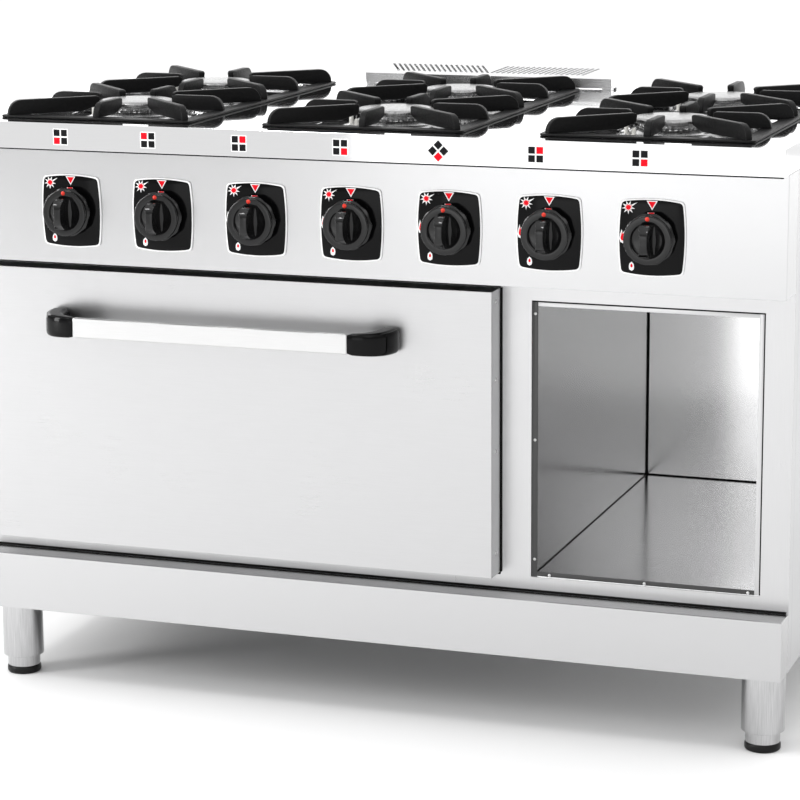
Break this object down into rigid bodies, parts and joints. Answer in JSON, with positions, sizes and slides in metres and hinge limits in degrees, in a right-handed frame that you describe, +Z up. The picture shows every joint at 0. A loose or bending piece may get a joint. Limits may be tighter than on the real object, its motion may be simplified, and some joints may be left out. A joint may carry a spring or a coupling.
{
  "type": "commercial gas range",
  "caption": "Freestanding stainless catering gas range: open burners under cast grates, drop-down oven door with a bar handle, push-and-turn knobs, open cabinet, levelling legs.",
  "frame": {"origin": "on the floor, under the middle of the range's width and depth", "axes": "+X to the right seen from the front, +Y towards the back, +Z up; the controls and the door face -Y"},
  "size_m": [1.2, 0.724, 0.87],
  "materials": {
    "polished_steel": "bright fine-brushed stainless sheet, near mirror on the worktop",
    "brushed_steel": "satin brushed stainless sheet",
    "liner_steel": "bright rolled stainless sheet",
    "oven_rack_steel": "chromed wire",
    "galvanised_steel": "dull galvanised sheet",
    "cast_iron": "rough black vitreous enamel on cast iron",
    "burner_alloy": "bright machined cast alloy",
    "burner_cap": "dark satin steel",
    "brass": "machined brass",
    "handle_aluminium": "satin anodised bar",
    "gloss_plastic": "moulded gloss black",
    "oven_enamel": "dark oven enamel",
    "seal_rubber": "matte black",
    "foot_plastic": "matte black moulding"
  },
  "bodies": {
    "chassis": {"worktop": "polished_steel", "burner_body_left_front": "burner_alloy", "burner_cap_left_front": "burner_cap", "burner_body_left_rear": "burner_alloy", "burner_cap_left_rear": "burner_cap", "burner_body_centre_front": "burner_alloy", "burner_cap_centre_front": "burner_cap", "burner_body_centre_rear": "burner_alloy", "burner_cap_centre_rear": "burner_cap", "burner_body_right_front": "burner_alloy", "burner_cap_right_front": "burner_cap", "burner_body_right_rear": "burner_alloy", "burner_cap_right_rear": "burner_cap", "flue_cover": "brushed_steel", "oven_liner": "oven_enamel", "oven_floor_plate": "oven_enamel", "oven_rack": "oven_rack_steel", "oven_burner": "galvanised_steel", "door_hinge_left": "galvanised_steel", "door_hinge_right": "galvanised_steel", "door_seal": "seal_rubber", "control_panel": "polished_steel", "gas_manifold": "brass", "front_frame": "brushed_steel", "side_panel_left": "brushed_steel", "side_panel_right": "brushed_steel", "back_panel": "galvanised_steel", "base_frame": "galvanised_steel", "plinth": "polished_steel", "cabinet_liner": "liner_steel", "leg_tube_front_left": "brushed_steel", "leg_tube_front_right": "brushed_steel", "leg_tube_rear_left": "brushed_steel", "leg_tube_rear_right": "brushed_steel"},
    "grate_left": {"grate_left": "cast_iron"},
    "grate_centre": {"grate_centre": "cast_iron"},
    "grate_right": {"grate_right": "cast_iron"},
    "oven_door": {"door_outer_skin": "polished_steel", "door_inner_panel": "brushed_steel", "handle_bar": "handle_aluminium", "handle_bracket_left": "gloss_plastic", "handle_bracket_right": "gloss_plastic"},
    "tap_1": {"tap_spindle_1": "brass"},
    "knob_1": {"knob_1": "gloss_plastic"},
    "tap_2": {"tap_spindle_2": "brass"},
    "knob_2": {"knob_2": "gloss_plastic"},
    "tap_3": {"tap_spindle_3": "brass"},
    "knob_3": {"knob_3": "gloss_plastic"},
    "tap_4": {"tap_spindle_4": "brass"},
    "knob_4": {"knob_4": "gloss_plastic"},
    "tap_5": {"tap_spindle_5": "brass"},
    "knob_5": {"knob_5": "gloss_plastic"},
    "tap_6": {"tap_spindle_6": "brass"},
    "knob_6": {"knob_6": "gloss_plastic"},
    "tap_7": {"tap_spindle_7": "brass"},
    "knob_7": {"knob_7": "gloss_plastic"},
    "foot_front_left": {"foot_front_left": "foot_plastic"},
    "foot_front_right": {"foot_front_right": "foot_plastic"},
    "foot_rear_left": {"foot_rear_left": "foot_plastic"},
    "foot_rear_right": {"foot_rear_right": "foot_plastic"}
  },
  "joints": [
    {"name": "grate_left_lift", "type": "slide", "parent": "chassis", "child": "grate_left", "axis": [0, 0, 1], "range_m": [0, 0.12]},
    {"name": "grate_centre_lift", "type": "slide", "parent": "chassis", "child": "grate_centre", "axis": [0, 0, 1], "range_m": [0, 0.12]},
    {"name": "grate_right_lift", "type": "slide", "parent": "chassis", "child": "grate_right", "axis": [0, 0, 1], "range_m": [0, 0.12]},
    {"name": "oven_door_hinge", "type": "hinge", "parent": "chassis", "child": "oven_door", "pos_m": [-0.2, -0.27, 0.233], "axis": [1, 0, 0], "range_deg": [0, 90], "stiffness_Nm_per_rad": 9, "springref_deg": -14.32},
    {"name": "tap_1_turn", "type": "hinge", "parent": "chassis", "child": "tap_1", "pos_m": [-0.42, -0.32, 0.714], "axis": [0, -1, 0], "range_deg": [0, 145]},
    {"name": "knob_1_push", "type": "slide", "parent": "tap_1", "child": "knob_1", "axis": [0, 1, 0], "range_m": [0, 0.004], "stiffness_N_per_m": 600, "springref_m": -0.004},
    {"name": "tap_2_turn", "type": "hinge", "parent": "chassis", "child": "tap_2", "pos_m": [-0.28, -0.32, 0.714], "axis": [0, -1, 0], "range_deg": [0, 145]},
    {"name": "knob_2_push", "type": "slide", "parent": "tap_2", "child": "knob_2", "axis": [0, 1, 0], "range_m": [0, 0.004], "stiffness_N_per_m": 600, "springref_m": -0.004},
    {"name": "tap_3_turn", "type": "hinge", "parent": "chassis", "child": "tap_3", "pos_m": [-0.14, -0.32, 0.714], "axis": [0, -1, 0], "range_deg": [0, 145]},
    {"name": "knob_3_push", "type": "slide", "parent": "tap_3", "child": "knob_3", "axis": [0, 1, 0], "range_m": [0, 0.004], "stiffness_N_per_m": 600, "springref_m": -0.004},
    {"name": "tap_4_turn", "type": "hinge", "parent": "chassis", "child": "tap_4", "pos_m": [0, -0.32, 0.714], "axis": [0, -1, 0], "range_deg": [0, 145]},
    {"name": "knob_4_push", "type": "slide", "parent": "tap_4", "child": "knob_4", "axis": [0, 1, 0], "range_m": [0, 0.004], "stiffness_N_per_m": 600, "springref_m": -0.004},
    {"name": "tap_5_turn", "type": "hinge", "parent": "chassis", "child": "tap_5", "pos_m": [0.14, -0.32, 0.714], "axis": [0, -1, 0], "range_deg": [0, 145]},
    {"name": "knob_5_push", "type": "slide", "parent": "tap_5", "child": "knob_5", "axis": [0, 1, 0], "range_m": [0, 0.004], "stiffness_N_per_m": 600, "springref_m": -0.004},
    {"name": "tap_6_turn", "type": "hinge", "parent": "chassis", "child": "tap_6", "pos_m": [0.28, -0.32, 0.714], "axis": [0, -1, 0], "range_deg": [0, 145]},
    {"name": "knob_6_push", "type": "slide", "parent": "tap_6", "child": "knob_6", "axis": [0, 1, 0], "range_m": [0, 0.004], "stiffness_N_per_m": 600, "springref_m": -0.004},
    {"name": "tap_7_turn", "type": "hinge", "parent": "chassis", "child": "tap_7", "pos_m": [0.42, -0.32, 0.714], "axis": [0, -1, 0], "range_deg": [0, 145]},
    {"name": "knob_7_push", "type": "slide", "parent": "tap_7", "child": "knob_7", "axis": [0, 1, 0], "range_m": [0, 0.004], "stiffness_N_per_m": 600, "springref_m": -0.004},
    {"name": "foot_front_left_height", "type": "slide", "parent": "chassis", "child": "foot_front_left", "axis": [0, 0, -1], "range_m": [0, 0.04]},
    {"name": "foot_front_right_height", "type": "slide", "parent": "chassis", "child": "foot_front_right", "axis": [0, 0, -1], "range_m": [0, 0.04]},
    {"name": "foot_rear_left_height", "type": "slide", "parent": "chassis", "child": "foot_rear_left", "axis": [0, 0, -1], "range_m": [0, 0.04]},
    {"name": "foot_rear_right_height", "type": "slide", "parent": "chassis", "child": "foot_rear_right", "axis": [0, 0, -1], "range_m": [0, 0.04]}
  ]
}
